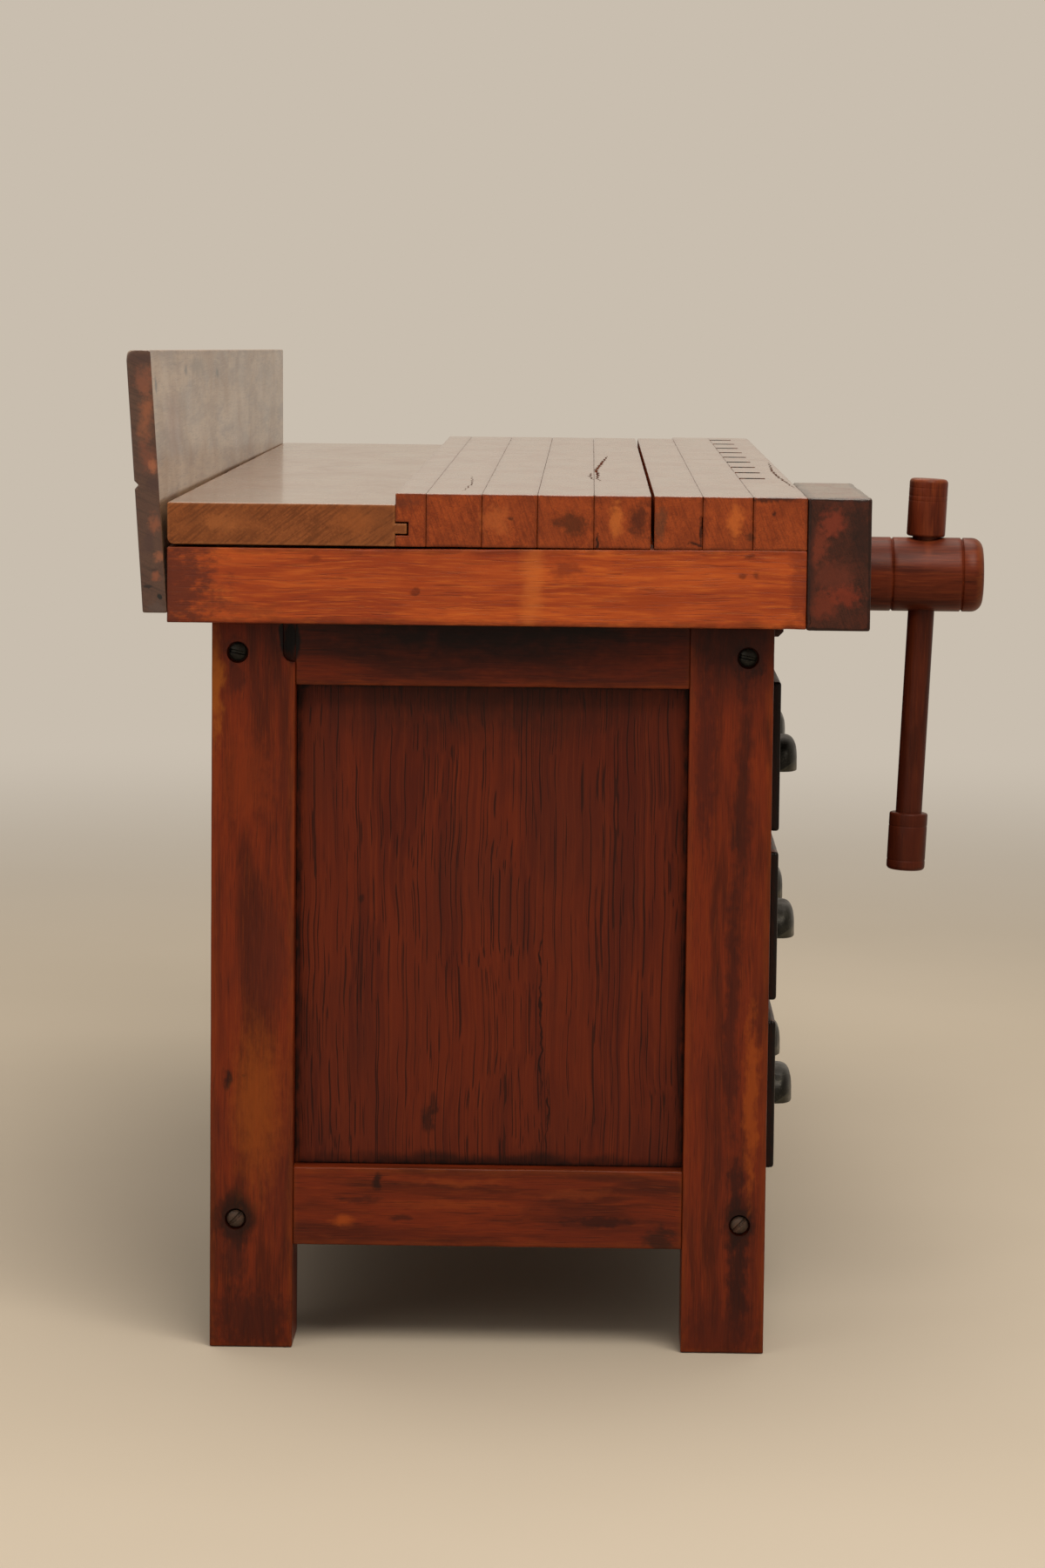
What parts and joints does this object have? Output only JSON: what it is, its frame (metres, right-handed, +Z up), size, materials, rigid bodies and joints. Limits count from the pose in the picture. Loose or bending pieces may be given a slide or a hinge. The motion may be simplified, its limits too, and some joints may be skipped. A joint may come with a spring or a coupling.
{
  "type": "woodworking bench with vises",
  "caption": "Old cabinetmaker's bench: laminated top with dog holes, tool tray and backboard, panelled base with drawers, wooden-screw front vise and tail vise.",
  "frame": {"origin": "on the floor, under the middle of the whole bench's box", "axes": "+X along the bench from the front-vise end to the tail-vise end, +Y from the front to the back, +Z up"},
  "size_m": [1.86, 0.8322, 0.973],
  "materials": {
    "top": "oiled and worn maple",
    "tray": "oiled tray board",
    "backboard": "old dark board",
    "bearer": "shellacked orange-brown hardwood",
    "frame": "shellacked red-brown hardwood",
    "panel": "red-brown oak with open pores",
    "inside": "bare pine and poplar",
    "drawer": "shellacked red-brown hardwood",
    "jaw": "dark handled patina",
    "turned": "turned, handled and waxed",
    "iron": "black japanned casting",
    "steel": "plain drawn bar"
  },
  "bodies": {
    "bench": {"front_dog_strip": "top", "front_inner_strip": "top", "main_slab": "top", "tray_board": "tray", "backboard": "backboard", "near_bearer": "bearer", "far_bearer": "bearer", "tail_vise_nut": "bearer", "near_front_leg": "frame", "near_back_leg": "frame", "near_end_top_rail": "frame", "near_end_bottom_rail": "frame", "near_end_panel": "panel", "far_front_leg": "frame", "far_back_leg": "frame", "far_end_top_rail": "frame", "far_end_bottom_rail": "frame", "far_end_panel": "panel", "front_upper_rail": "frame", "front_lower_rail": "frame", "back_upper_rail": "frame", "back_lower_rail": "frame", "drawer_divider_1": "frame", "drawer_divider_2": "frame", "front_vise_nut": "frame", "runner_board": "inside", "partition": "inside", "case_back": "inside"},
    "front_jaw": {"front_vise_jaw": "jaw", "front_vise_garter_key": "inside", "front_vise_guide_rod_1": "steel", "front_vise_guide_rod_2": "steel"},
    "front_screw": {"front_vise_screw": "turned"},
    "front_handle": {"front_vise_handle": "turned", "front_vise_handle_knob": "turned"},
    "tail_block": {"tail_vise_dog_block": "top", "tail_vise_jaw": "jaw", "tail_vise_garter_key": "inside"},
    "tail_screw": {"tail_vise_screw": "turned"},
    "tail_handle": {"tail_vise_handle": "turned", "tail_vise_handle_knob": "turned"},
    "drawer_1": {"drawer_1_front": "drawer", "drawer_1_box": "inside", "drawer_1_bottom": "inside", "drawer_1_pull_1": "iron", "drawer_1_pull_2": "iron"},
    "drawer_2": {"drawer_2_front": "drawer", "drawer_2_box": "inside", "drawer_2_bottom": "inside", "drawer_2_pull_1": "iron", "drawer_2_pull_2": "iron"},
    "drawer_3": {"drawer_3_front": "drawer", "drawer_3_box": "inside", "drawer_3_bottom": "inside", "drawer_3_pull_1": "iron", "drawer_3_pull_2": "iron"}
  },
  "joints": [
    {"name": "front_jaw_slide", "type": "slide", "parent": "bench", "child": "front_jaw", "axis": [0, -1, 0], "range_m": [0, 0.2]},
    {"name": "front_screw_turn", "type": "hinge", "parent": "front_jaw", "child": "front_screw", "pos_m": [-0.7597, -0.29612, 0.758], "axis": [0, -1, 0], "range_deg": [0, 5760]},
    {"name": "front_handle_slide", "type": "slide", "parent": "front_screw", "child": "front_handle", "axis": [0, -0.0419, 0.9991], "range_m": [0, 0.19]},
    {"name": "tail_block_slide", "type": "slide", "parent": "bench", "child": "tail_block", "axis": [1, 0, 0], "range_m": [0, 0.175]},
    {"name": "tail_screw_turn", "type": "hinge", "parent": "tail_block", "child": "tail_screw", "pos_m": [0.81, -0.16282, 0.743], "axis": [1, 0, 0], "range_deg": [0, 5040]},
    {"name": "tail_handle_slide", "type": "slide", "parent": "tail_screw", "child": "tail_handle", "axis": [0.0419, 0, 0.9991], "range_m": [0, 0.19]},
    {"name": "drawer_1_slide", "type": "slide", "parent": "bench", "child": "drawer_1", "axis": [0, -1, 0], "range_m": [0, 0.38]},
    {"name": "drawer_2_slide", "type": "slide", "parent": "bench", "child": "drawer_2", "axis": [0, -1, 0], "range_m": [0, 0.1]},
    {"name": "drawer_3_slide", "type": "slide", "parent": "bench", "child": "drawer_3", "axis": [0, -1, 0], "range_m": [0, 0.1]}
  ],
  "couplings": [
    {"joint": "front_jaw_slide", "follows": "front_screw_turn", "m_per_rad": 0.0019894},
    {"joint": "tail_block_slide", "follows": "tail_screw_turn", "m_per_rad": 0.0019894}
  ]
}
